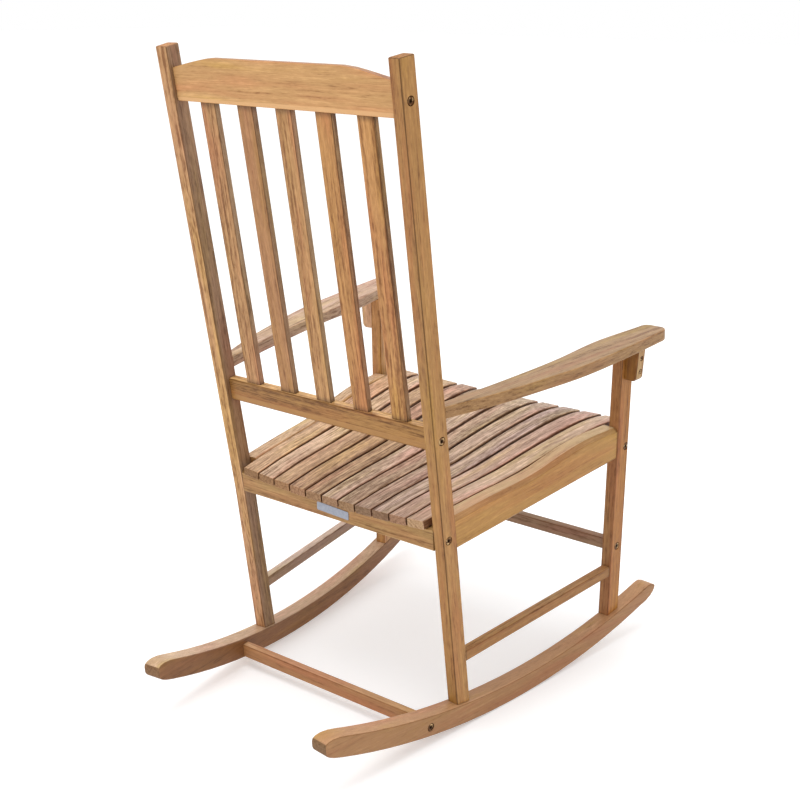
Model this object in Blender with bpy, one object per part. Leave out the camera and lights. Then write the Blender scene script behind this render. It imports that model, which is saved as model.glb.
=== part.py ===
"""Slatted hardwood porch rocking chair.

Two splayed side frames stand on curved rockers.  Each is a rear post, a front leg, a
side rail, a side stretcher, an arm with its bracket, and a rocker, joined with mortises
and tenons.  Cross pieces bolted through the side frames hold them apart: the crest rail,
the lower back rail, the two seat aprons, the front stretcher and the rocker stretcher.
Five back slats are tenoned between the back rails and eleven tapered slats make the seat.

The chair is laid out level: z = 0 at the underside of the side rails, y = 0 at the back
of the rear posts, the front towards -Y.  The empty "chair" then leans it back to the
angle where it balances on its rockers, with the lowest point of the rockers at z = 0.
"""

import math

import bmesh
import bpy
from mathutils import Vector

# ---- Driving dimensions, in metres and degrees ---------------------------------------

GAP = 0.0003                 # clearance left between touching pieces
REST_LEAN = 5.94             # how far the chair leans back when it stands still
STAND_Y = 0.17677            # shift that centres the footprint on the origin

TOE = 7.03                   # splay of each side frame, opening towards the front
EDGE_RADIUS = 0.0015         # eased edges of ordinary boards
EDGE_STEPS = 1               # segments in each eased edge

# Rear posts: three points on the outer rear corner, as (half width, y, z)
POST_TOP = (0.2377, 0.0590, 0.7803)
POST_KNEE = (0.2316, 0.0000, 0.0000)
POST_FOOT = (0.2323, -0.0153, -0.2888)
POST_WIDTH = 0.0220
POST_DEPTH = 0.0310

# Front legs: two points on the outer rear corner
LEG_FOOT = (0.2805, -0.4361, -0.3170)
LEG_HEAD = (0.2863, -0.4732, 0.1756)
LEG_WIDTH = 0.0220
LEG_DEPTH = 0.0334

# Rockers
ROCKER_WIDTH = 0.0318
ROCKER_OUTER_HALF = 0.2358   # half width over the outer faces at y = 0
ROCKER_FLARE = 0.1234        # widening of the outer faces per metre forwards
ROCKER_SOLE = (-0.2914, 0.9596, 1.3165)   # centre y, centre z and radius of the sole
ROCKER_TOP = (-0.3152, 1.0535, 1.3762)    # centre y, centre z and radius of the top
ROCKER_FRONT_Y = -0.5280     # where the rounded nose starts
ROCKER_REAR_Y = 0.2480       # where the blunt tail starts
ROCKER_NOSE = (0.0480, 0.0230)            # length and rise of the nose
ROCKER_TAIL = (0.0305, 0.0085)            # length and rise of the tail
ROCKER_STEP = 1.6            # degrees of arc in each straight facet of a rocker

# Seat
RAIL_THICKNESS = 0.0320
RAIL_INSET = 0.0016          # step back from the faces of the posts and legs
RAIL_CURVE = (               # y and height of the side rail's top edge
    (-0.030, 0.0572), (-0.120, 0.0568), (-0.235, 0.0552),
    (-0.310, 0.0625), (-0.380, 0.0660), (-0.465, 0.0598),
)
SLAT_CURVE = (               # y and height of the seat surface beside the rails
    (0.0062, 0.0552), (-0.070, 0.0575), (-0.215, 0.0552), (-0.310, 0.0600),
    (-0.400, 0.0622), (-0.465, 0.0606), (-0.505, 0.0556), (-0.531, 0.0492),
)
SEAT_DISH = (0.0085, 0.0055)  # hollow at the middle of the seat, rear and front
SEAT_BOW = 0.0095            # how far the middle slat passes the outer ones at the front
SLAT_COUNT = 11
SLAT_THICKNESS = 0.0150
SLAT_GAP = (0.0028, 0.0084)   # at the rear and at the front
SLAT_RAIL_GAP = 0.0017
APRON_THICKNESS = 0.0220
APRON_BOTTOM = 0.0023
FRONT_APRON_THICKNESS = 0.0180
FRONT_APRON_Y = -0.4880
BATTEN_Y = -0.2350
BATTEN_WIDTH = 0.0280
BATTEN_THICKNESS = 0.0150

# Back
CREST_SETBACK = 0.0059       # from the back of the posts
CREST_THICKNESS = 0.0190
CREST_ROUND = 0.0095         # roundover of the front top edge
CREST_BOTTOM = 0.6960
CREST_TOP = 0.7650
CREST_TOP_END = 0.7480
CREST_FLAT_HALF = 0.1340     # half width of the straight part of its top edge
LOWER_SETBACK = 0.0093
LOWER_THICKNESS = 0.0200
LOWER_BOTTOM = 0.1778
LOWER_TOP = 0.2185
BACK_SLAT_COUNT = 5
BACK_SLAT_PITCH = 0.0782
BACK_SLAT_WIDTH = 0.0318
BACK_SLAT_THICKNESS = 0.0115
BACK_SLAT_SETBACK = (0.0128, 0.0102)      # at the lower rail and at the crest

# Arms, level frame
ARM_THICKNESS = 0.0207
ARM_EASE = 0.0030            # roundover of the arm's top edges
ARM_TOP_AT_POST = 0.2532
ARM_FALL = 0.0400            # drop of the arm per metre forwards
ARM_OUTLINE = (              # y, inner and outer half widths
    (-0.014, 0.2160, 0.2362), (-0.100, 0.2310, 0.2665), (-0.200, 0.2455, 0.2928),
    (-0.300, 0.2563, 0.3140), (-0.420, 0.2615, 0.3252), (-0.538, 0.2822, 0.3316),
)
ARM_FRONT_Y = -0.5612
BRACKET_LENGTH = 0.0280
BRACKET_LENGTH_BELOW = 0.0248             # it tapers towards its lower end
BRACKET_THICKNESS = 0.0210
BRACKET_HEIGHT = 0.0634
BRACKET_FORWARD = 0.0077     # from the leg's rear face
BRACKET_ROUND = 0.0090

# Stretchers
SIDE_STRETCHER_THICKNESS = 0.0170
SIDE_STRETCHER_HEIGHT = 0.0198
SIDE_STRETCHER_REAR_Z = -0.2174
SIDE_STRETCHER_FRONT_Z = -0.2350
SIDE_STRETCHER_INSET = 0.0012
FRONT_STRETCHER_Y = -0.4650
FRONT_STRETCHER_BOTTOM = -0.1892
FRONT_STRETCHER_HEIGHT = 0.0230
FRONT_STRETCHER_THICKNESS = 0.0170
ROCKER_STRETCHER_Y = 0.0480
ROCKER_STRETCHER_BOTTOM = -0.3080
ROCKER_STRETCHER_HEIGHT = 0.0255
ROCKER_STRETCHER_THICKNESS = 0.0150

# Joinery and hardware
TENON_LENGTH = 0.0145
TENON_SHOULDER = 0.0045
BACK_TENON_LENGTH = 0.0140
BOLT_HEAD_RADIUS = 0.0071
BOLT_HEAD_HEIGHT = 0.0026
BOLT_RECESS = 0.0006
BOLT_RADIUS = 0.0030
BOLT_BITE = 0.0240           # length of the bolt inside the cross piece
SOCKET_RADIUS = 0.0026
SOCKET_DEPTH = 0.0018
SCREW_HEAD_RADIUS = 0.0044
SCREW_RADIUS = 0.0018
SCREW_BITE = 0.0140
SCREW_DROPS = (0.0222, 0.0462)            # below the top of the arm bracket
ROUND_STEPS = 12
TAG_CENTRE = (0.0000, 0.0195)
TAG_SIZE = (0.0690, 0.0155)
TAG_SLANT = 2.5              # the tag sits slightly crooked
TAG_THICKNESS = 0.0008

# Base colours: linear red, green, blue
OILED_WOOD = (0.42, 0.20, 0.075)
PALE_WOOD = (0.55, 0.36, 0.22)
DARK_WOOD = (0.30, 0.13, 0.05)
BRONZED_STEEL = (0.18, 0.13, 0.08)
TAG_COLOUR = (0.55, 0.58, 0.62)

SIN_TOE = math.sin(math.radians(TOE))
COS_TOE = math.cos(math.radians(TOE))
SIDES = (("left", 1.0), ("right", -1.0))


# ---- Scene helpers -------------------------------------------------------------------

def clear_scene():
    """Remove every object, mesh and material that the file opened with."""
    for obj in list(bpy.data.objects):
        bpy.data.objects.remove(obj, do_unlink=True)
    for mesh in list(bpy.data.meshes):
        bpy.data.meshes.remove(mesh)
    for material in list(bpy.data.materials):
        bpy.data.materials.remove(material)


def make_material(name, colour, roughness, metallic=0.0):
    """Principled material with a plain colour."""
    material = bpy.data.materials.new(name)
    material.use_nodes = True
    shader = material.node_tree.nodes["Principled BSDF"]
    shader.inputs["Base Color"].default_value = (*colour, 1.0)
    shader.inputs["Roughness"].default_value = roughness
    shader.inputs["Metallic"].default_value = metallic
    material.diffuse_color = (*colour, 1.0)
    return material


def wood(name, colour=OILED_WOOD, shade=1.0):
    """A wood finish for one board, with its own depth of colour."""
    return make_material(name + "_finish", tuple(c * shade for c in colour), 0.5)


def make_object(name, mesh, material=None, location=None, rotation=None):
    """Link one object under the chair's empty, placed by its location and rotation."""
    obj = bpy.data.objects.new(name, mesh)
    bpy.context.scene.collection.objects.link(obj)
    obj.parent = CHAIR
    if location is not None:
        obj.location = location
    if rotation is not None:
        obj.rotation_euler = rotation
    if material is not None and not mesh.materials:
        mesh.materials.append(material)
    return obj


def loft_mesh(name, sections, origin=Vector((0.0, 0.0, 0.0)), smooth_angle=35.0):
    """Skin a run of matching closed sections, cap both ends and shade it."""
    bm = bmesh.new()
    rings = [[bm.verts.new(point - origin) for point in section] for section in sections]
    count = len(rings[0])
    for near, far in zip(rings, rings[1:]):
        for i in range(count):
            j = (i + 1) % count
            bm.faces.new((near[i], near[j], far[j], far[i]))
    bm.faces.new(rings[0])
    bm.faces.new(list(reversed(rings[-1])))
    bmesh.ops.recalc_face_normals(bm, faces=bm.faces)
    mesh = bpy.data.meshes.new(name)
    bm.to_mesh(mesh)
    bm.free()
    mesh.shade_smooth()
    mesh.set_sharp_from_angle(angle=math.radians(smooth_angle))
    return mesh


def loft(name, sections, material):
    """Board skinned through its sections, with its origin at its middle."""
    points = [point for section in sections for point in section]
    low = Vector([min(p[i] for p in points) for i in range(3)])
    high = Vector([max(p[i] for p in points) for i in range(3)])
    middle = (low + high) / 2
    return make_object(name, loft_mesh(name, sections, middle), material, middle)


def rounded_outline(a_low, a_high, b_low, b_high, radii=None, steps=EDGE_STEPS):
    """Rectangle with eased corners as (a, b) pairs; radii run from (low a, low b)."""
    if radii is None:
        radii = (EDGE_RADIUS,) * 4
    corners = (
        (a_low, b_low, 1, 1, 180.0), (a_high, b_low, -1, 1, 270.0),
        (a_high, b_high, -1, -1, 0.0), (a_low, b_high, 1, -1, 90.0),
    )
    outline = []
    for (a, b, step_a, step_b, start), radius in zip(corners, radii):
        for step in range(steps + 1):
            angle = math.radians(start + 90.0 * step / steps)
            outline.append((
                a + radius * (step_a + math.cos(angle)),
                b + radius * (step_b + math.sin(angle)),
            ))
    return outline


def smooth_curve(stations, position, column=1):
    """Value on a smooth curve through stations that are sorted from the rear forwards."""
    xs = [station[0] for station in stations]
    vs = [station[column] for station in stations]
    last = len(xs) - 1

    def slope(i):
        low, high = max(i - 1, 0), min(i + 1, last)
        return (vs[high] - vs[low]) / (xs[high] - xs[low])

    i = 0
    while i < last - 1 and position < xs[i + 1]:
        i += 1
    span = xs[i + 1] - xs[i]
    t = (position - xs[i]) / span
    if t < 0.0 or t > 1.0:
        near = i if t < 0.0 else i + 1
        return vs[near] + slope(near) * (position - xs[near])
    h00 = (1 + 2 * t) * (1 - t) ** 2
    h10 = t * (1 - t) ** 2
    h01 = t * t * (3 - 2 * t)
    h11 = t * t * (t - 1)
    return h00 * vs[i] + h10 * span * slope(i) + h01 * vs[i + 1] + h11 * span * slope(i + 1)


def cutter(name, bodies):
    """Hidden tool that removes one or more closed shapes from a board."""
    mesh = bpy.data.meshes.new(name)
    bm = bmesh.new()
    for body in bodies:
        bm.from_mesh(body)
        bpy.data.meshes.remove(body)
    bm.to_mesh(mesh)
    bm.free()
    obj = make_object(name, mesh)
    obj.display_type = "WIRE"
    obj.hide_render = True
    return obj


def cut(board, bodies):
    """Sink mortises and bores into a board."""
    tool = cutter(board.name + "_cutter", bodies)
    modifier = board.modifiers.new("joinery", "BOOLEAN")
    modifier.operation = "DIFFERENCE"
    modifier.solver = "EXACT"
    modifier.object = tool


def box_body(start, along, across, up, length, width, height):
    """Plain block from start along its length, centred across and up."""
    sections = []
    for distance in (0.0, length):
        centre = start + along * distance
        sections.append([
            centre + across * (width / 2 * a) + up * (height / 2 * b)
            for a, b in ((-1, -1), (1, -1), (1, 1), (-1, 1))
        ])
    return loft_mesh("block", sections)


def turned_body(start, along, stations, name="turned"):
    """Round body from (distance, radius) stations along a line."""
    side = along.orthogonal().normalized()
    other = along.cross(side)
    sections = []
    for distance, radius in stations:
        ring = []
        for step in range(ROUND_STEPS):
            angle = 2 * math.pi * step / ROUND_STEPS
            ring.append(
                start + along * distance
                + side * (radius * math.cos(angle)) + other * (radius * math.sin(angle))
            )
        sections.append(ring)
    return loft_mesh(name, sections)


# ---- Where the side frames run -------------------------------------------------------

def outward(side):
    """Unit vector out of a side frame, square to its splayed plane."""
    return Vector((side * COS_TOE, SIN_TOE, 0.0))


def forward(side):
    """Unit vector along a side frame towards the front."""
    return Vector((side * SIN_TOE, -COS_TOE, 0.0))


def blend(low, high, t):
    """Point part of the way from low to high."""
    return tuple(a + (b - a) * t for a, b in zip(low, high))


def post_corner(side, z):
    """Outer rear corner of a rear post at a height."""
    end = POST_TOP if z > 0.0 else POST_FOOT
    point = blend(POST_KNEE, end, z / end[2])
    return Vector((side * point[0], point[1], z))


def leg_corner(side, z):
    """Outer rear corner of a front leg at a height."""
    point = blend(LEG_FOOT, LEG_HEAD, (z - LEG_FOOT[2]) / (LEG_HEAD[2] - LEG_FOOT[2]))
    return Vector((side * point[0], point[1], z))


def post_point(side, inward, ahead, z):
    """Point of a post, measured inwards and forwards from its outer rear corner."""
    return post_corner(side, z) - outward(side) * inward + forward(side) * ahead


def leg_point(side, inward, ahead, z):
    """Point of a leg, measured inwards and forwards from its outer rear corner."""
    return leg_corner(side, z) - outward(side) * inward + forward(side) * ahead


def arc_height(arc, y):
    """Height of a rocker's sole or top at a distance along the chair."""
    centre_y, centre_z, radius = arc
    return centre_z - math.sqrt(radius ** 2 - (y - centre_y) ** 2)


def rocker_top_under(point):
    """Height of the rocker's top edge below a point; it is level across the rocker."""
    inward = (ROCKER_OUTER_HALF - ROCKER_FLARE * point.y - abs(point.x)) * COS_TOE
    return arc_height(ROCKER_TOP, point.y + inward * SIN_TOE) - dressed(inward)


def foot_ring(place, side, outline, level, drop):
    """Ring of a post's or leg's foot, set down on the rocker's curved top."""
    ring = []
    for inward, ahead in outline:
        height = level
        for _ in range(3):
            height = rocker_top_under(place(side, inward, ahead, height))
        ring.append(place(side, inward, ahead, height + 2 * GAP - drop))
    return ring


def arm_top(y):
    """Height of the arm's top face."""
    return ARM_TOP_AT_POST + ARM_FALL * (y - ARM_OUTLINE[0][0])


def seat_half_width(y):
    """Outer edge of the outermost seat slat, parallel to the side rails."""
    inner = RAIL_INSET + RAIL_THICKNESS + SLAT_RAIL_GAP
    rear = post_point(1.0, inner, POST_DEPTH, 0.030)
    front = leg_point(1.0, inner, 0.0, 0.030)
    return rear.x + (front.x - rear.x) * (y - rear.y) / (front.y - rear.y)


def seat_height(x, y):
    """Height of the dished seat surface."""
    share = min(abs(x) / seat_half_width(y), 1.0)
    along = (SLAT_CURVE[0][0] - y) / (SLAT_CURVE[0][0] - SLAT_CURVE[-1][0])
    dish = SEAT_DISH[0] + (SEAT_DISH[1] - SEAT_DISH[0]) * along
    return smooth_curve(SLAT_CURVE, y) - dish * (1 - share ** 2)


def post_back_y(z):
    """Back of the posts, on the chair's centre line side of them."""
    return post_point(1.0, POST_WIDTH, 0.0, z).y


def rise_at(z):
    """How far the backrest has leaned back at a height."""
    return POST_TOP[1] * z / POST_TOP[2]


# ---- Side frames ---------------------------------------------------------------------

def build_post(tag, side):
    """Rear post: kneed at the seat, tenoned into the rocker."""
    name = "rear_post_" + tag
    body = rounded_outline(0.0, POST_WIDTH, 0.0, POST_DEPTH)
    tenon = rounded_outline(
        0.006, POST_WIDTH - 0.006, TENON_SHOULDER, POST_DEPTH - TENON_SHOULDER, (0.001,) * 4)
    crown = rounded_outline(0.0012, POST_WIDTH - 0.0012, 0.0012, POST_DEPTH - 0.0012)

    def foot(outline, drop):
        return foot_ring(post_point, side, outline, POST_FOOT[2], drop)

    lean = POST_TOP[1] / POST_TOP[2]

    def head(outline, drop):
        return [
            post_point(side, inward, ahead, POST_TOP[2] - drop + lean * ahead)
            for inward, ahead in outline
        ]

    sections = [foot(tenon, TENON_LENGTH), foot(tenon, 0.0), foot(body, 0.0)]
    sections += [
        [post_point(side, inward, ahead, z) for inward, ahead in body]
        for z in (-0.150, -0.0005, 0.0005, 0.250, 0.500)
    ]
    sections += [head(body, 0.0012), head(crown, 0.0)]
    return loft(name, sections, wood(name, shade=1.05))


def build_leg(tag, side):
    """Front leg: tenoned into the rocker below and into the arm above."""
    name = "front_leg_" + tag
    body = rounded_outline(0.0, LEG_WIDTH, 0.0, LEG_DEPTH)
    tenon = rounded_outline(
        0.006, LEG_WIDTH - 0.006, TENON_SHOULDER, LEG_DEPTH - TENON_SHOULDER, (0.001,) * 4)

    def foot(outline, drop):
        return foot_ring(leg_point, side, outline, LEG_FOOT[2], drop)

    def head(outline, rise):
        ring = []
        for inward, ahead in outline:
            point = leg_point(side, inward, ahead, 0.210)
            top = arm_top(point.y) - ARM_THICKNESS
            ring.append(leg_point(side, inward, ahead, top - GAP + rise))
        return ring

    sections = [foot(tenon, TENON_LENGTH), foot(tenon, 0.0), foot(body, 0.0)]
    sections += [
        [leg_point(side, inward, ahead, z) for inward, ahead in body] for z in (-0.120, 0.050)
    ]
    sections += [head(body, 0.0), head(tenon, 0.0), head(tenon, 0.012)]
    return loft(name, sections, wood(name, shade=1.0))


def dressed(inward):
    """How far a splayed rocker is let down across its width, so its sole bears flat."""
    return inward * SIN_TOE * math.tan(math.radians(REST_LEAN))


def rocker_section(side, sole, top):
    """Section of a rocker between a point on its sole and a point on its top edge."""
    up = Vector((0.0, top[0] - sole[0], top[1] - sole[1]))
    height = up.length
    up.normalize()
    ring = []
    for inward, rise in rounded_outline(0.0, ROCKER_WIDTH, 0.0, height):
        y = sole[0] + up.y * rise
        z = sole[1] + up.z * rise
        outer = Vector((side * (ROCKER_OUTER_HALF - ROCKER_FLARE * y), y, z - dressed(inward)))
        ring.append(outer - outward(side) * inward)
    return ring


def rocker_stations():
    """Sole and top points along a rocker, from the blunt tail to the rounded nose."""
    centre_y, centre_z, radius = ROCKER_SOLE
    offset = Vector((centre_y - ROCKER_TOP[0], centre_z - ROCKER_TOP[1]))
    rear = math.asin((ROCKER_REAR_Y - centre_y) / radius)
    front = math.asin((ROCKER_FRONT_Y - centre_y) / radius)
    facet = math.radians(ROCKER_STEP)
    standing = math.radians(REST_LEAN) + facet / 2    # one facet lies flat on the floor
    low = math.ceil((front - standing) / facet + 0.2)
    high = math.floor((rear - standing) / facet - 0.2)
    angles = [rear] + [standing + k * facet for k in range(high, low - 1, -1)] + [front]
    stations = []
    for angle in angles:
        ray = Vector((math.sin(angle), -math.cos(angle)))
        along = offset.dot(ray)
        reach = -along + math.sqrt(along ** 2 - offset.length_squared + ROCKER_TOP[2] ** 2)
        sole = (centre_y + ray.x * radius, centre_z + ray.y * radius)
        top = (centre_y + ray.x * reach, centre_z + ray.y * reach)
        stations.append((sole, top))
    first_sole, first_top = stations[0]
    length, rise = ROCKER_TAIL
    tail = []
    for turn in (90.0, 74.0, 57.0, 38.0, 18.0):
        ahead, fall = math.sin(math.radians(turn)), 1 - math.cos(math.radians(turn))
        sole_run = length * ahead ** 0.7
        top_run = (first_sole[0] - first_top[0] + length) * ahead
        sole = (
            first_sole[0] + sole_run,
            first_sole[1] + math.tan(rear) * sole_run + rise * fall,
        )
        top = (
            first_top[0] + top_run,
            first_top[1] + math.tan(rear) * top_run - 0.0185 * fall,
        )
        tail.append((sole, top))
    last_sole, last_top = stations[-1]
    length, rise = ROCKER_NOSE
    nose = []
    for share in (0.3, 0.55, 0.75, 0.9, 1.0):
        turn = math.radians(90 * share)
        sole = (
            last_sole[0] - length * math.sin(turn) ** 1.15,
            last_sole[1] + rise * (1 - math.cos(turn)),
        )
        top_y = last_top[0] + (last_sole[0] - length + 0.001 - last_top[0]) * share
        top = (top_y, arc_height(ROCKER_TOP, top_y) - 0.010 * max(share - 0.7, 0.0) / 0.3)
        nose.append((sole, top))
    return tail + stations + nose


def build_rocker(tag, side):
    """Curved rocker under one side frame."""
    name = "rocker_" + tag
    sections = [rocker_section(side, sole, top) for sole, top in rocker_stations()]
    return loft(name, sections, wood(name, shade=0.8))


def span_point(side, share, inward, z):
    """Point of a rail between the post's front face and the leg's rear face."""
    rear = post_point(side, inward, POST_DEPTH + GAP, z)
    front = leg_point(side, inward, -GAP, z)
    return rear.lerp(front, share)


def tenon_ring(side, share, inward_low, inward_high, z_low, z_high, reach):
    """Ring of a tenon that passes a rail's end by its reach."""
    ring = []
    for inward, z in rounded_outline(inward_low, inward_high, z_low, z_high, (0.001,) * 4):
        point = span_point(side, share, inward, z)
        step = forward(side) * (reach if share > 0.5 else -reach)
        ring.append(point + step)
    return ring


def build_side_rail(tag, side):
    """Side rail, dipped along its top edge with a full roundover on the outside."""
    name = "side_rail_" + tag
    steps = 16
    inner = RAIL_INSET + RAIL_THICKNESS
    sections = []
    for share in (0.0, 1.0):
        ends = [
            tenon_ring(side, share, 0.0065, POST_WIDTH - 0.0065, 0.010, 0.044, reach)
            for reach in (TENON_LENGTH, 0.0)
        ]
        if share == 0.0:
            sections += ends
            for step in range(steps + 1):
                part = step / steps
                height = smooth_curve(RAIL_CURVE, span_point(side, part, inner, 0.05).y)
                outline = rounded_outline(
                    RAIL_INSET, inner, 0.0, height, (0.003, 0.0015, 0.002, 0.0075))
                sections.append([span_point(side, part, a, z) for a, z in outline])
        else:
            sections += list(reversed(ends))
    return loft(name, sections, wood(name, shade=1.0))


def build_side_stretcher(tag, side):
    """Side stretcher, falling slightly towards the front."""
    name = "side_stretcher_" + tag
    low = SIDE_STRETCHER_INSET
    high = low + SIDE_STRETCHER_THICKNESS
    sections = []
    for share in (0.0, 0.25, 0.5, 0.75, 1.0):
        bottom = SIDE_STRETCHER_REAR_Z + (SIDE_STRETCHER_FRONT_Z - SIDE_STRETCHER_REAR_Z) * share
        outline = rounded_outline(low, high, bottom, bottom + SIDE_STRETCHER_HEIGHT)
        ring = [span_point(side, share, a, z) for a, z in outline]
        ends = [
            tenon_ring(side, share, low + 0.004, high - 0.004, bottom + 0.003,
                       bottom + SIDE_STRETCHER_HEIGHT - 0.003, reach)
            for reach in (TENON_LENGTH, 0.0)
        ]
        if share == 0.0:
            sections += ends + [ring]
        elif share == 1.0:
            sections += [ring] + list(reversed(ends))
        else:
            sections.append(ring)
    return loft(name, sections, wood(name, shade=0.95))


def arm_ring(side, y, inner, outer, top, bottom, ease):
    """Level section of an arm."""
    radii = (min(0.002, ease), min(0.002, ease), ease, ease)
    return [
        Vector((side * x, y, z))
        for x, z in rounded_outline(inner, outer, bottom, top, radii, 2)
    ]


def build_arm(tag, side):
    """Arm: a swelling paddle, tenoned into the post and resting on the leg."""
    name = "arm_" + tag
    sections = []
    centre = (ARM_OUTLINE[0][1] + ARM_OUTLINE[0][2]) / 2
    middle = arm_top(-0.014) - ARM_THICKNESS / 2
    for reach in (TENON_LENGTH, 0.0):
        tenon = rounded_outline(-0.005, 0.005, -0.0065, 0.0065, (0.001,) * 4, 2)
        sections.append([
            post_point(side, POST_WIDTH / 2 - a, POST_DEPTH + GAP, middle + b)
            - forward(side) * reach
            for a, b in tenon
        ])
    steps = 20
    body_length = ARM_OUTLINE[-1][0] - ARM_OUTLINE[0][0]
    for step in range(steps + 1):
        share = step / steps
        y = ARM_OUTLINE[0][0] + body_length * share
        inner = smooth_curve(ARM_OUTLINE, y, 1)
        outer = smooth_curve(ARM_OUTLINE, y, 2)
        ring = arm_ring(side, y, inner, outer, arm_top(y), arm_top(y) - ARM_THICKNESS, ARM_EASE)
        if step == 0:
            ring = [
                post_point(side, 0.0, POST_DEPTH + GAP, p.z) - outward(side) * max(
                    (side * p.x - centre) * -1 + POST_WIDTH / 2, 0.0)
                for p in ring
            ]
        sections.append(ring)
    nose_length = ARM_OUTLINE[-1][0] - ARM_FRONT_Y
    for share in (0.25, 0.50, 0.70, 0.85, 0.95, 1.0):
        y = ARM_OUTLINE[-1][0] - nose_length * share
        pull = nose_length * 0.92 * (1 - math.sqrt(max(1 - share ** 2, 0.0)))
        inner = smooth_curve(ARM_OUTLINE, y, 1) - 0.2 * nose_length * share + pull
        outer = smooth_curve(ARM_OUTLINE, y, 2) - pull
        squeeze = 0.0025 * share ** 6
        sections.append(arm_ring(
            side, y, inner, outer, arm_top(y) - squeeze, arm_top(y) - ARM_THICKNESS + squeeze,
            ARM_EASE))
    return loft(name, sections, wood(name, shade=1.1))


def build_bracket(tag, side):
    """Block that braces the arm from the outer face of the leg."""
    name = "arm_bracket_" + tag
    sections = []
    for ahead, ease in (
        (0.0, 0.0015), (0.0015, 0.0), (BRACKET_THICKNESS - 0.0015, 0.0),
        (BRACKET_THICKNESS, 0.0015),
    ):
        y_mid = leg_point(side, 0.0, BRACKET_FORWARD + ahead, 0.200).y
        top = arm_top(y_mid) - ARM_THICKNESS - GAP
        bottom = top - BRACKET_HEIGHT + ease
        outline = [(GAP, top), (GAP, bottom)]
        centre = BRACKET_LENGTH_BELOW - BRACKET_ROUND
        for step in range(7):
            angle = math.radians(-90.0 + 90.0 * step / 6)
            outline.append((
                centre + (BRACKET_ROUND - ease) * math.cos(angle),
                bottom - ease + BRACKET_ROUND + (BRACKET_ROUND - ease) * math.sin(angle),
            ))
        outline.append((BRACKET_LENGTH - ease, top))
        sections.append([
            leg_point(side, -out, BRACKET_FORWARD + ahead, z) for out, z in outline
        ])
    return loft(name, sections, wood(name, shade=0.95))


# ---- Cross pieces --------------------------------------------------------------------

def between_posts(side, y, z, thickness_ahead=0.0):
    """Half length of a cross piece at a point: where it meets the post's inner face."""
    corner = post_point(side, POST_WIDTH + GAP, 0.0, z)
    return abs(corner.x) - (y - corner.y) * SIN_TOE / COS_TOE


def between_legs(side, y, z):
    """Half length of a cross piece at a point: where it meets the leg's inner face."""
    corner = leg_point(side, LEG_WIDTH + GAP, 0.0, z)
    return abs(corner.x) - (y - corner.y) * SIN_TOE / COS_TOE


def between_rockers(side, y, z):
    """Half length of a cross piece at a point: where it meets the rocker's inner face."""
    outer = Vector((ROCKER_OUTER_HALF - ROCKER_FLARE * y, y, z))
    return outer.x - (ROCKER_WIDTH + GAP) / COS_TOE


def cross_board(name, reach, section_at, material, steps=14):
    """Board across the chair; each section point lies at a share of its half length."""
    sections = []
    for step in range(steps + 1):
        share = -1.0 + 2.0 * step / steps
        ring = []
        for y, z in section_at(share):
            ring.append(Vector((share * reach(1.0, y, z), y, z)))
        sections.append(ring)
    return loft(name, sections, material)


def back_y(setback, z):
    """Face of the backrest at a height, at a distance in front of the posts' backs."""
    return post_back_y(z) - setback


def build_crest():
    """Crest rail, straight on top with falling ends."""
    half = between_posts(1.0, 0.0, CREST_BOTTOM)

    def section(share):
        x = abs(share) * half
        fall = max((x - CREST_FLAT_HALF) / (half - CREST_FLAT_HALF), 0.0)
        top = CREST_TOP - (CREST_TOP - CREST_TOP_END) * fall ** 1.2
        outline = rounded_outline(
            0.0, CREST_THICKNESS, CREST_BOTTOM, top, (0.003, 0.003, CREST_ROUND, 0.002), 3)
        return [(back_y(CREST_SETBACK + a, z), z) for a, z in outline]

    return cross_board("crest_rail", between_posts, section, wood("crest_rail", shade=1.15), 24)


def build_lower_rail():
    """Lower rail of the back."""

    def section(_):
        outline = rounded_outline(
            0.0, LOWER_THICKNESS, LOWER_BOTTOM, LOWER_TOP, (0.0035, 0.002, 0.002, 0.002))
        return [(back_y(LOWER_SETBACK + a, z), z) for a, z in outline]

    return cross_board(
        "lower_back_rail", between_posts, section, wood("lower_back_rail", shade=0.95), 2)


def slat_bearing(x, y):
    """Height of a bearer's top under the dished seat."""
    slope = (smooth_curve(SLAT_CURVE, y + 0.002) - smooth_curve(SLAT_CURVE, y - 0.002)) / 0.004
    return seat_height(x, y) - SLAT_THICKNESS * math.sqrt(1 + slope ** 2) - 0.0009


def apron_board(name, reach, y_rear, thickness, shade):
    """Seat apron with a hollowed top edge that carries the slats."""
    half = reach(1.0, y_rear, 0.020)

    def section(share):
        x = share * half
        points = []
        for a, b in rounded_outline(0.0, thickness, 0.0, 1.0, (0.0,) * 4):
            points.append((a, b))
        y_front = y_rear - thickness
        low = APRON_BOTTOM
        ease = 0.0022
        rear_top = slat_bearing(x, y_rear)
        front_top = slat_bearing(x, y_front)
        return [
            (y_rear, low + ease), (y_rear - ease * 0.3, low + ease * 0.3), (y_rear - ease, low),
            (y_front + ease, low), (y_front + ease * 0.3, low + ease * 0.3),
            (y_front, low + ease),
            (y_front, front_top - 0.001), (y_front + 0.0003, front_top - 0.0003),
            (y_front + 0.001, front_top),
            (y_rear - 0.001, rear_top), (y_rear - 0.0003, rear_top - 0.0003),
            (y_rear, rear_top - 0.001),
        ]

    return cross_board(name, reach, section, wood(name, shade=shade), 20)


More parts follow.
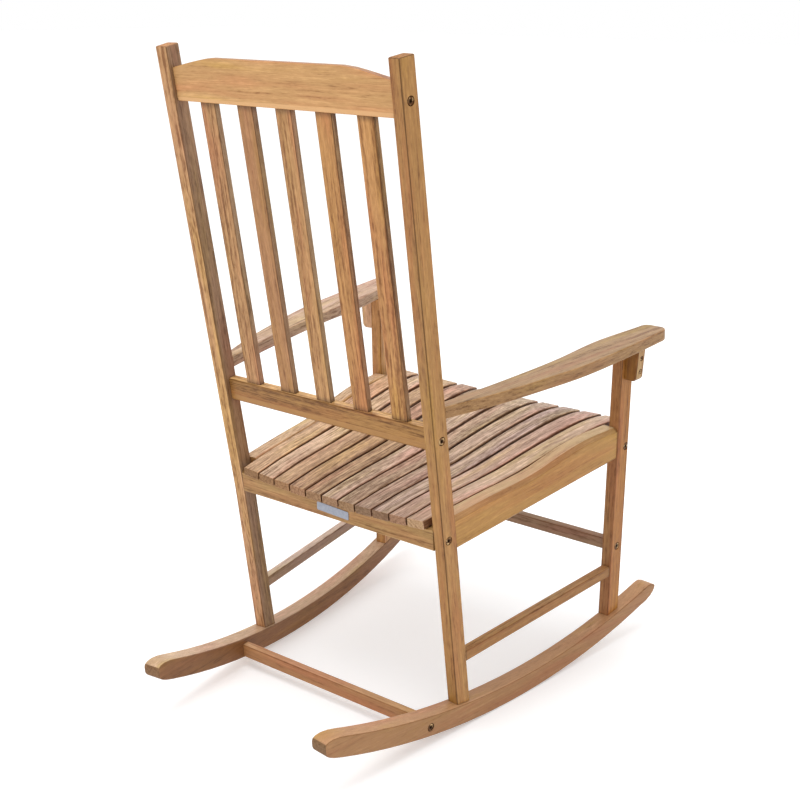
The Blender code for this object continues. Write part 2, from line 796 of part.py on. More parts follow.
def build_batten():
    """Hidden batten that ties the seat slats together halfway along."""
    y_rear = BATTEN_Y + BATTEN_WIDTH / 2
    y_front = BATTEN_Y - BATTEN_WIDTH / 2
    steps = 20
    sections = []
    for step in range(steps + 1):
        share = -1.0 + 2.0 * step / steps
        ring = []
        for y, level in ((y_rear, 0), (y_front, 0), (y_front, 1), (y_rear, 1)):
            x = share * (seat_half_width(y) - 0.004)
            top = slat_bearing(x, y)
            ring.append(Vector((x, y, top if level else top - BATTEN_THICKNESS)))
        sections.append(ring)
    return loft("seat_batten", sections, wood("seat_batten", DARK_WOOD))


def build_front_stretcher():
    """Square stretcher between the front legs."""

    def section(_):
        half = FRONT_STRETCHER_THICKNESS / 2
        outline = rounded_outline(
            FRONT_STRETCHER_Y - half, FRONT_STRETCHER_Y + half, FRONT_STRETCHER_BOTTOM,
            FRONT_STRETCHER_BOTTOM + FRONT_STRETCHER_HEIGHT)
        return outline

    return cross_board(
        "front_stretcher", between_legs, section, wood("front_stretcher", shade=0.9), 2)


def build_rocker_stretcher():
    """Stretcher between the rockers, just behind the rear posts."""

    def section(_):
        half = ROCKER_STRETCHER_THICKNESS / 2
        outline = rounded_outline(
            ROCKER_STRETCHER_Y - half, ROCKER_STRETCHER_Y + half, ROCKER_STRETCHER_BOTTOM,
            ROCKER_STRETCHER_BOTTOM + ROCKER_STRETCHER_HEIGHT)
        return outline

    return cross_board(
        "rocker_stretcher", between_rockers, section, wood("rocker_stretcher", shade=0.9), 2)


# ---- Slats ---------------------------------------------------------------------------

def slat_edges(index, y):
    """Left and right edges of a seat slat: slats and gaps both widen towards the front."""
    half = seat_half_width(y)
    along = (SLAT_CURVE[0][0] - y) / (SLAT_CURVE[0][0] - SLAT_CURVE[-1][0])
    gap = SLAT_GAP[0] + (SLAT_GAP[1] - SLAT_GAP[0]) * along
    pitch = (2 * half + gap) / SLAT_COUNT
    low = -half + index * pitch
    return low, low + pitch - gap


def build_seat_slat(index):
    """Tapered seat slat, shaped along its length and rolled down at the front."""
    name = "seat_slat_%02d" % (index + 1)
    middle_x = sum(slat_edges(index, -0.25)) / 2
    rear = SLAT_CURVE[0][0]
    bow = SEAT_BOW * (1 - (middle_x / seat_half_width(-0.25)) ** 2)
    front = SLAT_CURVE[-1][0] - bow
    steps = 14
    sections = []
    for step in range(steps + 1):
        share = 1 - (1 - step / steps) ** 1.6
        y = rear + (front - rear) * share
        low, high = slat_edges(index, y)
        slope = (smooth_curve(SLAT_CURVE, y + 0.002) - smooth_curve(SLAT_CURVE, y - 0.002)) / 0.004
        normal = Vector((0.0, -slope, 1.0)).normalized()
        left = Vector((low, y, seat_height(low, y)))
        right = Vector((high, y, seat_height(high, y)))
        across = (right - left).normalized()
        up = normal - across * normal.dot(across)
        up.normalize()
        width = (right - left).length
        outline = rounded_outline(
            0.0, width, -SLAT_THICKNESS, 0.0, (0.0012, 0.0012, 0.0017, 0.0017))
        sections.append([left + across * a + up * b for a, b in outline])
    shade = 1.0 + 0.08 * math.sin(index * 2.4)
    return loft(name, sections, wood(name, PALE_WOOD, shade))


def slat_setback(z):
    """Distance from the back of the posts to the rear face of the back slats."""
    share = (z - LOWER_TOP) / (CREST_BOTTOM - LOWER_TOP)
    return BACK_SLAT_SETBACK[0] + (BACK_SLAT_SETBACK[1] - BACK_SLAT_SETBACK[0]) * share


def build_back_slat(index):
    """Back slat, tenoned into the crest rail above and the lower rail below."""
    name = "back_slat_%d" % (index + 1)
    centre = (index - (BACK_SLAT_COUNT - 1) / 2) * BACK_SLAT_PITCH
    half = BACK_SLAT_WIDTH / 2
    body = rounded_outline(-half, half, 0.0, BACK_SLAT_THICKNESS)
    tenon = rounded_outline(
        -half + 0.004, half - 0.004, 0.003, BACK_SLAT_THICKNESS - 0.003, (0.001,) * 4)

    def ring(outline, z):
        setback = slat_setback(z)
        return [Vector((centre + a, back_y(setback + b, z), z)) for a, b in outline]

    sections = [
        ring(tenon, LOWER_TOP + GAP - BACK_TENON_LENGTH), ring(tenon, LOWER_TOP + GAP),
        ring(body, LOWER_TOP + GAP), ring(body, 0.380), ring(body, 0.540),
        ring(body, CREST_BOTTOM - GAP), ring(tenon, CREST_BOTTOM - GAP),
        ring(tenon, CREST_BOTTOM - GAP + BACK_TENON_LENGTH),
    ]
    return loft(name, sections, wood(name, shade=0.85 + 0.05 * (index % 3)))


# ---- Hardware ------------------------------------------------------------------------

def fastener_mesh(name, head_radius, head_height, radius, length, socket):
    """Bolt along +X from its head's face, with a hexagon or cross recess in the head."""
    sections = []

    def ring(x, size, six_sided=False):
        points = []
        for step in range(ROUND_STEPS):
            angle = 2 * math.pi * step / ROUND_STEPS
            reach = size
            if six_sided:
                local = (angle + math.pi / 6) % (math.pi / 3) - math.pi / 6
                reach = size * math.cos(math.pi / 6) / math.cos(local)
            points.append(Vector((x, reach * math.cos(angle), reach * math.sin(angle))))
        return points

    sections.append(ring(socket[1], socket[0], True))
    sections.append(ring(0.0, socket[0], True))
    sections.append(ring(0.0, head_radius - 0.0006))
    sections.append(ring(0.0006, head_radius))
    sections.append(ring(head_height, head_radius))
    sections.append(ring(head_height, radius))
    sections.append(ring(length - 0.001, radius))
    sections.append(ring(length, radius * 0.7))
    return loft_mesh(name, sections)


def fastener_rotation(direction):
    """Rotation that turns +X onto a direction."""
    return Vector((1.0, 0.0, 0.0)).rotation_difference(direction).to_euler()


def bolt_bores(face, inward_dir, wall, head_radius, head_height, radius):
    """Counterbore and clearance bore through a side member."""
    start = face - inward_dir * 0.004
    depth = 0.004 + BOLT_RECESS + head_height + GAP
    return turned_body(start, inward_dir, (
        (0.0, head_radius + GAP), (depth, head_radius + GAP),
        (depth, radius + GAP), (0.004 + wall + 0.004, radius + GAP),
    ))


def bite_bore(face, inward_dir, wall, bite, radius):
    """Blind bore in the end of a cross piece."""
    return turned_body(
        face, inward_dir, ((wall - 0.002, radius + GAP), (wall + bite + 0.001, radius + GAP)))


def standing_height():
    """Lift that puts the flat facet under the rockers on the floor."""
    centre_y, centre_z, radius = ROCKER_SOLE
    lean = math.radians(REST_LEAN)
    reach = radius * math.cos(math.radians(ROCKER_STEP) / 2)
    return reach - (centre_z * math.cos(lean) - centre_y * math.sin(lean))


def main():
    """Build the whole chair."""
    cuts = {}

    def sink(board, body):
        cuts.setdefault(board.name, (board, []))[1].append(body)

    posts, legs, rockers, rails, arms, brackets, stretchers = {}, {}, {}, {}, {}, {}, {}
    for tag, side in SIDES:
        posts[tag] = build_post(tag, side)
        legs[tag] = build_leg(tag, side)
        rockers[tag] = build_rocker(tag, side)
        rails[tag] = build_side_rail(tag, side)
        stretchers[tag] = build_side_stretcher(tag, side)
        arms[tag] = build_arm(tag, side)
        brackets[tag] = build_bracket(tag, side)

    crest = build_crest()
    lower = build_lower_rail()
    apron_rear = apron_board("rear_apron", between_posts, -0.0005, APRON_THICKNESS, 0.85)
    apron_front = apron_board(
        "front_apron", between_legs, FRONT_APRON_Y + FRONT_APRON_THICKNESS / 2,
        FRONT_APRON_THICKNESS, 0.8)
    build_batten()
    stretcher_front = build_front_stretcher()
    stretcher_rocker = build_rocker_stretcher()
    for index in range(SLAT_COUNT):
        build_seat_slat(index)
    for index in range(BACK_SLAT_COUNT):
        build_back_slat(index)

    up = Vector((0.0, 0.0, 1.0))

    # Mortises for the back slats
    lean = (Vector((0.0, rise_at(1.0), 1.0))).normalized()
    for index in range(BACK_SLAT_COUNT):
        centre = (index - (BACK_SLAT_COUNT - 1) / 2) * BACK_SLAT_PITCH
        across = Vector((1.0, 0.0, 0.0))
        ahead = lean.cross(across)
        width = BACK_SLAT_WIDTH - 0.008 + 2 * GAP
        thickness = BACK_SLAT_THICKNESS - 0.006 + 2 * GAP
        depth = BACK_TENON_LENGTH + 0.001
        middle = BACK_SLAT_SETBACK[1] + BACK_SLAT_THICKNESS / 2
        start = Vector((centre, back_y(middle, CREST_BOTTOM - 0.002), CREST_BOTTOM - 0.002))
        sink(crest, box_body(start, lean, across, ahead, depth + 0.002, width, thickness))
        middle = BACK_SLAT_SETBACK[0] + BACK_SLAT_THICKNESS / 2
        start = Vector((centre, back_y(middle, LOWER_TOP + 0.002), LOWER_TOP + 0.002))
        sink(lower, box_body(start, -lean, across, ahead, depth + 0.002, width, thickness))

    bolt_sites = []
    for tag, side in SIDES:
        out = outward(side)
        ahead = forward(side)

        # Post and leg feet in the rocker
        for point, depth_size in ((post_point, POST_DEPTH), (leg_point, LEG_DEPTH)):
            level = POST_FOOT[2] if point is post_point else LEG_FOOT[2]
            foot = point(side, 0.011, depth_size / 2, level)
            top = rocker_top_under(foot)
            lower_end = point(side, 0.011, depth_size / 2, top - TENON_LENGTH - 0.0050)
            upper_end = point(side, 0.011, depth_size / 2, top + 0.006)
            axis = (lower_end - upper_end)
            length = axis.length
            axis.normalize()
            sink(rockers[tag], box_body(
                upper_end, axis, out, ahead, length, 0.010 + 2 * GAP,
                depth_size - 2 * TENON_SHOULDER + 2 * GAP))

        # Leg head in the arm
        head = leg_point(side, 0.011, LEG_DEPTH / 2, 0.200)
        top = arm_top(head.y) - ARM_THICKNESS
        low_end = leg_point(side, 0.011, LEG_DEPTH / 2, top - 0.004)
        high_end = leg_point(side, 0.011, LEG_DEPTH / 2, top + 0.0135)
        axis = high_end - low_end
        length = axis.length
        axis.normalize()
        sink(arms[tag], box_body(
            low_end, axis, out, ahead, length, 0.010 + 2 * GAP,
            LEG_DEPTH - 2 * TENON_SHOULDER + 2 * GAP))

        # Arm end in the post
        z = arm_top(-0.014) - ARM_THICKNESS / 2
        start = post_point(side, POST_WIDTH / 2, POST_DEPTH + 0.003, z)
        sink(posts[tag], box_body(
            start, -ahead, out, up, 0.003 + TENON_LENGTH + 0.001, 0.010 + 2 * GAP,
            0.013 + 2 * GAP))

        # Rail ends in the post and the leg
        width = POST_WIDTH - 0.013 + 2 * GAP
        for z_low, z_high, low, high in (
            (0.010, 0.044, 0.0065, POST_WIDTH - 0.0065),
            (None, None, SIDE_STRETCHER_INSET + 0.004,
             SIDE_STRETCHER_INSET + SIDE_STRETCHER_THICKNESS - 0.004),
        ):
            for share, board in ((0.0, posts[tag]), (1.0, legs[tag])):
                if z_low is None:
                    base = SIDE_STRETCHER_REAR_Z
                    if share == 1.0:
                        base = SIDE_STRETCHER_FRONT_Z
                    bottom = base + 0.003
                    top = base + SIDE_STRETCHER_HEIGHT - 0.003
                else:
                    bottom, top = z_low, z_high
                middle = (bottom + top) / 2
                step = ahead if share == 1.0 else -ahead
                start = span_point(side, share, (low + high) / 2, middle) - step * 0.004
                tilt = (span_point(side, share, low, top) - span_point(side, share, low, bottom))
                tilt.normalize()
                width = high - low + 2 * GAP
                sink(board, box_body(
                    start, step, out, tilt, 0.004 + TENON_LENGTH + 0.001, width,
                    (top - bottom) / tilt.z + 2 * GAP))

        # Bolts through the side frame into the cross pieces
        post, leg, rocker = posts[tag], legs[tag], rockers[tag]
        bolt_sites += [
            ("bolt_crest_" + tag, post_point(side, 0.0, 0.0154, 0.7210), out, POST_WIDTH,
             post, crest),
            ("bolt_lower_rail_" + tag, post_point(side, 0.0, 0.0167, 0.1996), out, POST_WIDTH,
             post, lower),
            ("bolt_rear_apron_" + tag, post_point(side, 0.0, 0.0124, 0.0232), out, POST_WIDTH,
             post, apron_rear),
            ("bolt_front_apron_" + tag, leg_point(side, 0.0, 0.0255, 0.0173), out, LEG_WIDTH,
             leg, apron_front),
            ("bolt_front_stretcher_" + tag, leg_point(side, 0.0, 0.0170, -0.1787), out,
             LEG_WIDTH, leg, stretcher_front),
        ]
        y = 0.0549
        face = Vector((side * (ROCKER_OUTER_HALF - ROCKER_FLARE * y), y, -0.2930))
        bolt_sites.append((
            "bolt_rocker_stretcher_" + tag, face, out, ROCKER_WIDTH, rocker, stretcher_rocker))

        # Screws through the arm bracket into the leg
        for index, drop in enumerate(SCREW_DROPS):
            y_mid = leg_point(side, 0.0, BRACKET_FORWARD + 0.011, 0.190).y
            z = arm_top(y_mid) - ARM_THICKNESS - drop
            taper = (BRACKET_LENGTH - BRACKET_LENGTH_BELOW) * drop / BRACKET_HEIGHT
            wall = BRACKET_LENGTH - taper - 0.0006
            face = leg_point(side, -wall, BRACKET_FORWARD + BRACKET_THICKNESS * 0.55, z)
            sink(brackets[tag], bolt_bores(
                face, -out, wall, SCREW_HEAD_RADIUS, 0.0020, SCREW_RADIUS))
            sink(legs[tag], bite_bore(face, -out, wall, SCREW_BITE, SCREW_RADIUS))
            name = "bracket_screw_%s_%d" % (tag, index + 1)
            mesh = fastener_mesh(
                name, SCREW_HEAD_RADIUS, 0.0020, SCREW_RADIUS,
                wall + SCREW_BITE - BOLT_RECESS, (0.0014, 0.0011))
            make_object(
                name, mesh, make_material(name + "_finish", BRONZED_STEEL, 0.4, 0.9),
                face - out * BOLT_RECESS, fastener_rotation(-out))

    for name, face, out, wall, member, cross in bolt_sites:
        sink(member, bolt_bores(
            face, -out, wall, BOLT_HEAD_RADIUS, BOLT_HEAD_HEIGHT, BOLT_RADIUS))
        sink(cross, bite_bore(face, -out, wall + GAP, BOLT_BITE, BOLT_RADIUS))
        mesh = fastener_mesh(
            name, BOLT_HEAD_RADIUS, BOLT_HEAD_HEIGHT, BOLT_RADIUS,
            wall + BOLT_BITE - BOLT_RECESS, (SOCKET_RADIUS, SOCKET_DEPTH))
        make_object(
            name, mesh, make_material(name + "_finish", BRONZED_STEEL, 0.4, 0.9),
            face - out * BOLT_RECESS, fastener_rotation(-out))

    for board, bodies in cuts.values():
        cut(board, bodies)

    # Small blank tag on the back of the rear apron
    tag_x, tag_z = TAG_CENTRE
    slant = math.radians(TAG_SLANT)
    half_w, half_h = TAG_SIZE[0] / 2, TAG_SIZE[1] / 2
    sections = []
    for distance in (0.0, TAG_THICKNESS):
        sections.append([
            Vector((
                tag_x + a * math.cos(slant) - b * math.sin(slant), -0.0005 + GAP + distance,
                tag_z + b * math.cos(slant) + a * math.sin(slant)))
            for a, b in rounded_outline(-half_w, half_w, -half_h, half_h, (0.0015,) * 4)
        ])
    loft("label_tag", sections, make_material("label_tag_finish", TAG_COLOUR, 0.55))


clear_scene()
CHAIR = bpy.data.objects.new("chair", None)
bpy.context.scene.collection.objects.link(CHAIR)
CHAIR.rotation_euler = (math.radians(-REST_LEAN), 0.0, 0.0)
CHAIR.location = (0.0, STAND_Y, standing_height())
main()
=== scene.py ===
"""Slatted hardwood rocking chair: oiled wood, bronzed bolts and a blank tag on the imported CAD
frame, in a plain white studio."""

import math

import bmesh
import bpy
from mathutils import Matrix, Vector


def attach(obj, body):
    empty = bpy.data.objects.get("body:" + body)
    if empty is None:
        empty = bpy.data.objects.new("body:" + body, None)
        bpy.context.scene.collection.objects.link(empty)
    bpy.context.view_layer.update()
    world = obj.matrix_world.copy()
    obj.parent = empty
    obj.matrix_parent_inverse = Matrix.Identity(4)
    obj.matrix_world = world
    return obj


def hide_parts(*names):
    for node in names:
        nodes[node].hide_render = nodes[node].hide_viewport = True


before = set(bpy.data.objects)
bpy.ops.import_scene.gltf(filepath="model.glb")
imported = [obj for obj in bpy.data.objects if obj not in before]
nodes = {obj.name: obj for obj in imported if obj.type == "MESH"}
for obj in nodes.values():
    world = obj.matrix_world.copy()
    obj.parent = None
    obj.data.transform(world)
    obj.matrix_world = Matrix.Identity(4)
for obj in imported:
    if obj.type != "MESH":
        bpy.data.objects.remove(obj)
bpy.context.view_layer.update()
scene = bpy.context.scene


# ---- Node helpers --------------------------------------------------------------------

class Graph:
    """Short way to add linked shader nodes to one tree."""

    def __init__(self, tree):
        self.tree = tree

    def put(self, socket, value):
        if isinstance(value, bpy.types.NodeSocket):
            self.tree.links.new(value, socket)
        else:
            socket.default_value = value

    def node(self, kind, *values, **settings):
        made = self.tree.nodes.new("ShaderNode" + kind)
        for key, value in settings.items():
            setattr(made, key, value)
        for index, value in enumerate(values):
            if value is not None:
                self.put(made.inputs[index], value)
        return made

    def math(self, operation, a, b=None, clamp=False):
        return self.node("Math", a, b, operation=operation, use_clamp=clamp).outputs[0]

    def about_half(self, value, weight):
        """(value - 0.5) * weight: turns a noise into a swing either way."""
        return self.math("MULTIPLY", self.math("SUBTRACT", value, 0.5), weight)

    def vector(self, operation, a, b=None, out=0):
        return self.node("VectorMath", a, b, operation=operation).outputs[out]

    def noise(self, vector, scale, detail=2.0, roughness=0.5, colour=False):
        """Noise on coordinates stretched by scale, a triple."""
        placed = self.vector("MULTIPLY", vector, scale)
        made = self.node("TexNoise", noise_dimensions="3D")
        self.put(made.inputs["Vector"], placed)
        made.inputs["Scale"].default_value = 1.0
        made.inputs["Detail"].default_value = detail
        made.inputs["Roughness"].default_value = roughness
        return made.outputs["Color" if colour else "Fac"]

    def step(self, value, low, high, to_low=0.0, to_high=1.0):
        """Smooth step from to_low at low to to_high at high."""
        made = self.node("MapRange", interpolation_type="SMOOTHSTEP")
        self.put(made.inputs["Value"], value)
        made.inputs["From Min"].default_value = low
        made.inputs["From Max"].default_value = high
        made.inputs["To Min"].default_value = to_low
        made.inputs["To Max"].default_value = to_high
        return made.outputs[0]

    def mix(self, factor, a, b, blend="MIX"):
        made = self.node("Mix", data_type="RGBA", blend_type=blend)
        self.put(made.inputs[0], factor)
        self.put(made.inputs[6], a)
        self.put(made.inputs[7], b)
        return made.outputs[2]

    def times(self, colour, factor):
        """Colour multiplied by another, a triple or a socket."""
        if isinstance(factor, tuple):
            factor = (*factor, 1.0)
        return self.mix(1.0, colour, factor, "MULTIPLY")


def empty_material(name):
    """New material without nodes, and the Graph to fill it with."""
    material = bpy.data.materials.new(name)
    material.use_nodes = True
    material.node_tree.nodes.clear()
    return material, Graph(material.node_tree)


def to_surface(g, shader):
    g.put(g.node("OutputMaterial").inputs["Surface"], shader.outputs[0])


def group_tree(name, inputs, outputs):
    tree = bpy.data.node_groups.new(name, "ShaderNodeTree")
    for kind, label in inputs:
        tree.interface.new_socket(label, in_out="INPUT", socket_type="NodeSocket" + kind)
    for kind, label in outputs:
        tree.interface.new_socket(label, in_out="OUTPUT", socket_type="NodeSocket" + kind)
    source = tree.nodes.new("NodeGroupInput")
    target = tree.nodes.new("NodeGroupOutput")
    return tree, Graph(tree), source.outputs, target.inputs


# ---- Oiled acacia --------------------------------------------------------------------

def make_wood_group():
    """Wood in board coordinates: x runs along the grain, y and z across it, in metres.

    Noise scales are written (along, across, across) in cycles per metre.
    """
    tree, g, given, wanted = group_tree(
        "oiled_wood",
        [("Vector", "Board"), ("Float", "End"), ("Color", "Pale"), ("Color", "Base"),
         ("Color", "Dark"), ("Vector", "Pith"), ("Float", "Ring"), ("Float", "Streaks"),
         ("Vector", "Knot"), ("Vector", "Shift"), ("Float", "LitEdge"), ("Color", "Tone")],
        [("Color", "Colour"), ("Float", "Roughness"), ("Float", "Height")])
    board = given["Board"]

    # A knot bends the grain round itself
    to_knot = g.vector("SUBTRACT", board, given["Knot"])
    knot_distance = g.vector("LENGTH", g.vector("MULTIPLY", to_knot, (0.55, 1.0, 1.0)), out=1)
    knot_pull = g.step(knot_distance, 0.0, 0.020, 1.0, 0.0)
    swirl = g.node("CombineXYZ", 0.0, g.math("MULTIPLY", knot_pull, 0.008),
                   g.math("MULTIPLY", knot_pull, -0.005)).outputs[0]

    # Slow wander of the grain
    wander = g.noise(board, (1.7, 9.0, 9.0), 2.0, 0.5, colour=True)
    wander = g.vector("MULTIPLY", g.vector("SUBTRACT", wander, (0.5, 0.5, 0.5)),
                      (0.0, 0.022, 0.022))
    grain = g.vector("ADD", g.vector("ADD", board, wander), swirl)

    # Growth rings round a pith line that lies outside the board
    from_pith = g.vector("SUBTRACT", grain, given["Pith"])
    split = g.node("SeparateXYZ", from_pith).outputs
    taper = g.math("MULTIPLY", split[0], 0.022)
    across = g.math("SQRT", g.math("ADD", g.math("MULTIPLY", split[1], split[1]),
                                   g.math("MULTIPLY", split[2], split[2])))
    rings = g.math("DIVIDE", g.math("ADD", across, taper), given["Ring"])
    phase = g.math("FRACT", rings)
    late = g.math("MULTIPLY", g.step(phase, 0.25, 0.86), g.step(phase, 0.90, 1.0, 1.0, 0.0))
    spread = g.noise(grain, (1.2, 26.0, 26.0), 2.0, 0.6)
    late = g.math("MULTIPLY", late, g.step(spread, 0.35, 0.65, 0.25, 1.0))

    # Streaks of darker and paler fibre
    broad = g.noise(grain, (1.1, 55.0, 55.0), 3.0, 0.62)
    narrow = g.noise(grain, (3.2, 210.0, 210.0), 3.0, 0.75)
    fibre = g.noise(grain, (16.0, 900.0, 900.0), 2.0, 0.6)
    pore = g.step(g.noise(grain, (70.0, 1500.0, 1500.0), 1.0, 0.5), 0.60, 0.72)
    flame = g.noise(grain, (26.0, 70.0, 70.0), 2.0, 0.6)
    fleck = g.noise(grain, (62.0, 270.0, 270.0), 2.0, 0.6)
    tone = g.math("ADD", g.about_half(broad, 1.00), g.about_half(narrow, 1.60))
    tone = g.math("ADD", tone, g.math("MULTIPLY", late, 0.22))
    for swing, weight in ((fibre, 1.30), (flame, 0.60), (fleck, 1.10)):
        tone = g.math("ADD", tone, g.about_half(swing, weight))
    tone = g.math("MULTIPLY", tone, given["Streaks"])
    tone = g.math("ADD", tone, 0.42, clamp=True)
    lower = g.mix(g.step(tone, 0.0, 0.5), given["Pale"], given["Base"])
    colour = g.mix(g.step(tone, 0.5, 1.0), lower, given["Dark"])

    # Warm and cool drifts, as in boards cut from different parts of the log
    drift = g.noise(board, (3.0, 24.0, 24.0), 2.0, 0.6)
    colour = g.mix(g.step(drift, 0.50, 0.68, 0.0, 0.85), colour,
                   g.times(colour, (1.00, 0.83, 0.86)))
    colour = g.mix(g.step(drift, 0.30, 0.50, 0.85, 0.0), colour,
                   g.times(colour, (1.00, 1.04, 0.72)))
    colour = g.mix(g.math("MULTIPLY", pore, 0.30), colour,
                   g.times(colour, (0.42, 0.34, 0.28)))

    # Painted reflection of the bright floor: a pale band along one edge of the board
    height_on = g.node("SeparateXYZ", g.vector("SUBTRACT", board, given["Shift"])).outputs[1]
    ragged = g.noise(board, (9.0, 120.0, 120.0), 2.0, 0.6)
    height_on = g.math("ADD", height_on, g.about_half(ragged, 0.004))
    lit_edge = g.step(g.math("SUBTRACT", given["LitEdge"], height_on), -0.0004, 0.0012)
    colour = g.mix(g.math("MULTIPLY", lit_edge, 0.75), colour,
                   g.times(given["Pale"], (1.05, 1.05, 1.16)))

    # Dark heart and ring of the knot
    ripple = g.noise(board, (60.0, 90.0, 90.0), 2.0, 0.6)
    edge = g.math("ADD", knot_distance, g.about_half(ripple, 0.004))
    heart = g.step(edge, 0.0012, 0.0042, 0.85, 0.0)
    halo = g.step(edge, 0.003, 0.013, 0.40, 0.0)
    colour = g.mix(halo, colour, g.times(colour, (0.62, 0.46, 0.34)))
    colour = g.mix(heart, colour, (0.045, 0.018, 0.008, 1.0))

    # Sawn ends drink more oil, so they are darker and duller, with the rings in section
    end_colour = g.times(given["Base"], (0.92, 0.80, 0.64))
    end_colour = g.mix(g.math("MULTIPLY", late, 0.55), end_colour, given["Dark"])
    speckle = g.noise(board, (240.0, 240.0, 330.0), 3.0, 0.7)
    end_colour = g.mix(g.step(speckle, 0.42, 0.66, 0.0, 0.75), end_colour,
                       g.times(end_colour, (0.50, 0.40, 0.30)))
    colour = g.mix(given["End"], colour, end_colour)

    # Satin oil: fibres and pores break it up
    rough = g.math("ADD", 0.40, g.about_half(fibre, 0.22))
    rough = g.math("ADD", rough, g.math("MULTIPLY", late, 0.07))
    rough = g.math("ADD", rough, g.math("MULTIPLY", given["End"], 0.22))
    height = g.math("ADD", g.math("MULTIPLY", fibre, 0.55), g.math("MULTIPLY", narrow, 0.45))
    height = g.math("SUBTRACT", height, g.math("MULTIPLY", pore, 0.45))
    height = g.math("SUBTRACT", height, g.math("MULTIPLY", late, 0.15))
    g.put(wanted["Colour"], g.times(colour, given["Tone"]))
    g.put(wanted["Roughness"], rough)
    g.put(wanted["Height"], height)
    return tree


WOOD = make_wood_group()
WHITE = (1.0, 1.0, 1.0, 1.0)
NO_KNOT = (9.0, 9.0, 9.0)   # a place far outside the board
# Boards without the painted pale band of floor reflection
NO_LIT_EDGE = -9.0           # an edge far below the board
USUAL_ARRIS = 0.68
USUAL_PALE = 1.30
# Red, green and blue of the darkest and palest fibres against the base colour, and how far
# the palest may go
DARK_FIBRES = (0.50, 0.40, 0.32)
PALE_FIBRES, PALEST = (1.0, 1.05, 1.12), (0.90, 0.80, 0.70)
# Tint of the arrises, taken both by the darker ones and by the painted highlights on the paler
# ones
ARRIS_TINT = (1.0, 0.92, 0.84)    # tint of the arrises
# How squarely a face looks along a direction (1 is fully), from where it counts to where it
# counts in full
END_FACE = (0.75, 0.93)
MAIN_FACE = (0.78, 0.92)
TONED_FACE = (0.55, 0.85)


def wood_material(name, axes, centre, base, seed, streaks, ring, knot, lit_edge, tones, arris,
                  joint, pale):
    """Wood for one board. axes are its length, width and thickness directions.

    tones lists (direction, factor) for faces paler or darker than the main one, which are painted
    shade and painted highlights for how the light falls on them; arris is the factor on the long
    edges between the faces, darker below one and a painted highlight above one. joint is
    (distance from the board's middle to the joint, width, factor) of the painted shade beside a
    joint, or None. pale is how much paler than base the palest fibres are, and seed shifts the
    cut through the log.
    """
    material, g = empty_material("wood_" + name)
    turn = Matrix((axes[0], axes[1], axes[2]))
    coordinates = g.node("TexCoord").outputs
    mapping = g.node("Mapping")
    g.put(mapping.inputs["Vector"], coordinates["Object"])
    shift = Vector((math.sin(seed * 12.9) * 3.0, math.sin(seed * 7.3) * 2.0, seed * 0.731))
    mapping.inputs["Rotation"].default_value = turn.to_euler()
    mapping.inputs["Location"].default_value = shift - turn @ centre
    facing = [g.math("ABSOLUTE", g.vector("DOT_PRODUCT", coordinates["Normal"], tuple(axis), 1))
              for axis in axes]
    end = g.step(facing[0], *END_FACE)
    square = g.math("MAXIMUM", facing[0], g.math("MAXIMUM", facing[1], facing[2]))
    # The long edges between the faces take the arris factor: darker below one, a painted
    # highlight above one
    tone = g.mix(g.step(square, *MAIN_FACE), (*(arris * tint for tint in ARRIS_TINT), 1.0), WHITE)
    # Painted shade and painted highlights: faces darker or paler because of how the light falls
    # on them
    for direction, factor in tones:
        towards = g.vector("DOT_PRODUCT", coordinates["Normal"], tuple(direction), 1)
        tone = g.mix(g.step(towards, *TONED_FACE), tone, g.times(tone, factor))
    # Painted shade in a band beside the joints at both ends
    if joint:
        reach, width, factor = joint
        along = g.node("SeparateXYZ", g.vector("SUBTRACT", mapping.outputs[0], tuple(shift)))
        joint_shade = g.step(g.math("ABSOLUTE", along.outputs[0]), reach - width, reach, 1.0, factor)
        tone = g.times(tone, g.node("CombineXYZ", joint_shade, joint_shade, joint_shade).outputs[0])

    group = g.node("Group", node_tree=WOOD)
    ins = group.inputs
    g.put(ins["Board"], mapping.outputs[0])
    g.put(ins["End"], end)
    palest = (min(b * pale * tint, limit) for b, tint, limit in zip(base, PALE_FIBRES, PALEST))
    ins["Pale"].default_value = (*palest, 1.0)
    ins["Base"].default_value = (*base, 1.0)
    ins["Dark"].default_value = (*(b * factor for b, factor in zip(base, DARK_FIBRES)), 1.0)
    pith = Vector((0.0, 0.035 * math.sin(seed * 3.1), 0.030 + 0.020 * math.sin(seed * 5.7)))
    ins["Pith"].default_value = shift + pith
    ins["Ring"].default_value = ring
    ins["Streaks"].default_value = streaks
    ins["Knot"].default_value = shift + Vector(knot)
    ins["Shift"].default_value = shift
    ins["LitEdge"].default_value = lit_edge
    g.put(ins["Tone"], tone)

    bump = g.node("Bump")
    bump.inputs["Strength"].default_value = 0.35
    bump.inputs["Distance"].default_value = 0.0004
    g.put(bump.inputs["Height"], group.outputs["Height"])
    shader = g.node("BsdfPrincipled")
    g.put(shader.inputs["Base Color"], group.outputs["Colour"])
    g.put(shader.inputs["Roughness"], group.outputs["Roughness"])
    g.put(shader.inputs["Normal"], bump.outputs[0])
    shader.inputs["IOR"].default_value = 1.45
    shader.inputs["Specular IOR Level"].default_value = 0.26
    shader.inputs["Coat Weight"].default_value = 0.02
    shader.inputs["Coat Roughness"].default_value = 0.28
    to_surface(g, shader)
    return material


# ---- Boards --------------------------------------------------------------------------

POWER_STEPS = 60    # enough for the directions below to settle


